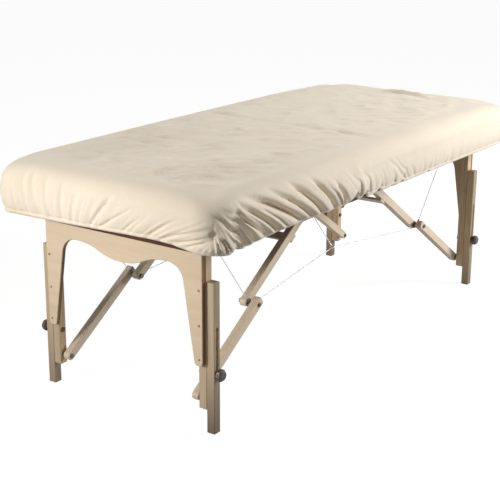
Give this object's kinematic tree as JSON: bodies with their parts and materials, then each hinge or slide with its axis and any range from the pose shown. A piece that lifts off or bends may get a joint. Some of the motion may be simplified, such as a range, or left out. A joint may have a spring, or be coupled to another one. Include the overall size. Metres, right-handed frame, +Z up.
{
  "type": "folding massage table",
  "caption": "Portable folding massage table on telescoping wooden legs, with arched plywood end panels, cable-stayed knee braces and a fitted cotton sheet gathered at its hem.",
  "frame": {"origin": "on the floor under the middle of the table, at the lowest leg setting", "axes": "+X along the table towards the far half, +Y across it to the left as seen from the near end, +Z up"},
  "size_m": [1.799, 0.8091, 0.683],
  "materials": {
    "cotton": "cream woven cotton, matt, gathered on elastic at the hem",
    "vinyl": "dark burgundy upholstery vinyl, low sheen",
    "foam": "pale yellow cut polyurethane foam",
    "plywood": "clear-coated birch plywood with stained edges",
    "beech": "clear-coated beech with a satin sheen",
    "steel": "zinc-plated steel",
    "knob_plastic": "black moulded plastic"
  },
  "bodies": {
    "near_half": {"near_side_rail_left": "beech", "near_side_rail_right": "beech", "near_end_rail": "beech", "near_centre_rail": "beech", "near_leg_beam": "beech", "near_deck": "plywood", "near_foam": "foam", "near_upholstery": "vinyl", "near_sheet": "cotton", "near_brace_bracket": "steel", "near_hinge_beam_leaf": "steel", "centre_hinge_near_leaf": "steel", "brace_cable_left": "steel", "brace_cable_right": "steel"},
    "far_half": {"far_side_rail_left": "beech", "far_side_rail_right": "beech", "far_end_rail": "beech", "far_centre_rail": "beech", "far_leg_beam": "beech", "far_deck": "plywood", "far_foam": "foam", "far_upholstery": "vinyl", "far_sheet": "cotton", "far_brace_bracket": "steel", "far_hinge_beam_leaf": "steel", "centre_hinge_far_leaf": "steel"},
    "near_leg": {"near_end_panel": "plywood", "near_post_left": "beech", "near_post_right": "beech", "near_lower_bolt_left": "steel", "near_lower_bolt_right": "steel", "near_hinge_leg_leaf": "steel"},
    "far_leg": {"far_end_panel": "plywood", "far_post_left": "beech", "far_post_right": "beech", "far_lower_bolt_left": "steel", "far_lower_bolt_right": "steel", "far_hinge_leg_leaf": "steel"},
    "near_upper_brace": {"near_upper_strut_left": "beech", "near_upper_strut_right": "beech", "near_crossbar": "beech", "near_knuckle_bolt_left": "steel", "near_knuckle_bolt_right": "steel"},
    "far_upper_brace": {"far_upper_strut_left": "beech", "far_upper_strut_right": "beech", "far_crossbar": "beech", "far_knuckle_bolt_left": "steel", "far_knuckle_bolt_right": "steel"},
    "near_lower_brace": {"near_lower_strut_left": "beech", "near_lower_strut_right": "beech"},
    "far_lower_brace": {"far_lower_strut_left": "beech", "far_lower_strut_right": "beech"},
    "near_left_extension": {"near_extension_left": "beech"},
    "near_right_extension": {"near_extension_right": "beech"},
    "far_left_extension": {"far_extension_left": "beech"},
    "far_right_extension": {"far_extension_right": "beech"},
    "near_left_knob": {"near_knob_left": "knob_plastic"},
    "near_right_knob": {"near_knob_right": "knob_plastic"},
    "far_left_knob": {"far_knob_left": "knob_plastic"},
    "far_right_knob": {"far_knob_right": "knob_plastic"}
  },
  "joints": [
    {"name": "table_fold", "type": "hinge", "parent": "near_half", "child": "far_half", "pos_m": [0, 0, 0.5357], "axis": [0, 1, 0], "range_deg": [0, 90]},
    {"name": "near_leg_fold", "type": "hinge", "parent": "near_half", "child": "near_leg", "pos_m": [-0.7554, 0, 0.588], "axis": [0, -1, 0], "range_deg": [0, 90], "deforming": ["brace_cable_left", "brace_cable_right"]},
    {"name": "far_leg_fold", "type": "hinge", "parent": "far_half", "child": "far_leg", "pos_m": [0.7554, 0, 0.588], "axis": [0, 1, 0], "range_deg": [0, 90]},
    {"name": "near_upper_brace_turn", "type": "hinge", "parent": "near_half", "child": "near_upper_brace", "pos_m": [-0.062, 0, 0.57], "axis": [0, 1, 0], "range_deg": [0, 35.22]},
    {"name": "far_upper_brace_turn", "type": "hinge", "parent": "far_half", "child": "far_upper_brace", "pos_m": [0.062, 0, 0.57], "axis": [0, -1, 0], "range_deg": [0, 35.22]},
    {"name": "near_lower_brace_turn", "type": "hinge", "parent": "near_leg", "child": "near_lower_brace", "pos_m": [-0.769, 0, 0.094], "axis": [0, -1, 0], "range_deg": [0, 54.79]},
    {"name": "far_lower_brace_turn", "type": "hinge", "parent": "far_leg", "child": "far_lower_brace", "pos_m": [0.769, 0, 0.094], "axis": [0, 1, 0], "range_deg": [0, 54.79]},
    {"name": "near_left_height", "type": "slide", "parent": "near_leg", "child": "near_left_extension", "axis": [0, 0, -1], "range_m": [0, 0.127]},
    {"name": "near_right_height", "type": "slide", "parent": "near_leg", "child": "near_right_extension", "axis": [0, 0, -1], "range_m": [0, 0.127]},
    {"name": "far_left_height", "type": "slide", "parent": "far_leg", "child": "far_left_extension", "axis": [0, 0, -1], "range_m": [0, 0.127]},
    {"name": "far_right_height", "type": "slide", "parent": "far_leg", "child": "far_right_extension", "axis": [0, 0, -1], "range_m": [0, 0.127]},
    {"name": "near_left_knob_turn", "type": "hinge", "parent": "near_leg", "child": "near_left_knob", "pos_m": [-0.7727, 0.3085, 0.172], "axis": [0, 1, 0], "continuous": true},
    {"name": "near_right_knob_turn", "type": "hinge", "parent": "near_leg", "child": "near_right_knob", "pos_m": [-0.7727, -0.3085, 0.172], "axis": [0, -1, 0], "continuous": true},
    {"name": "far_left_knob_turn", "type": "hinge", "parent": "far_leg", "child": "far_left_knob", "pos_m": [0.7727, 0.3085, 0.172], "axis": [0, 1, 0], "continuous": true},
    {"name": "far_right_knob_turn", "type": "hinge", "parent": "far_leg", "child": "far_right_knob", "pos_m": [0.7727, -0.3085, 0.172], "axis": [0, -1, 0], "continuous": true}
  ],
  "couplings": [
    {"joint": "near_upper_brace_turn", "follows": "near_leg_fold", "ratio": 0.39128},
    {"joint": "near_lower_brace_turn", "follows": "near_leg_fold", "ratio": 0.60872},
    {"joint": "far_upper_brace_turn", "follows": "far_leg_fold", "ratio": 0.39128},
    {"joint": "far_lower_brace_turn", "follows": "far_leg_fold", "ratio": 0.60872}
  ]
}
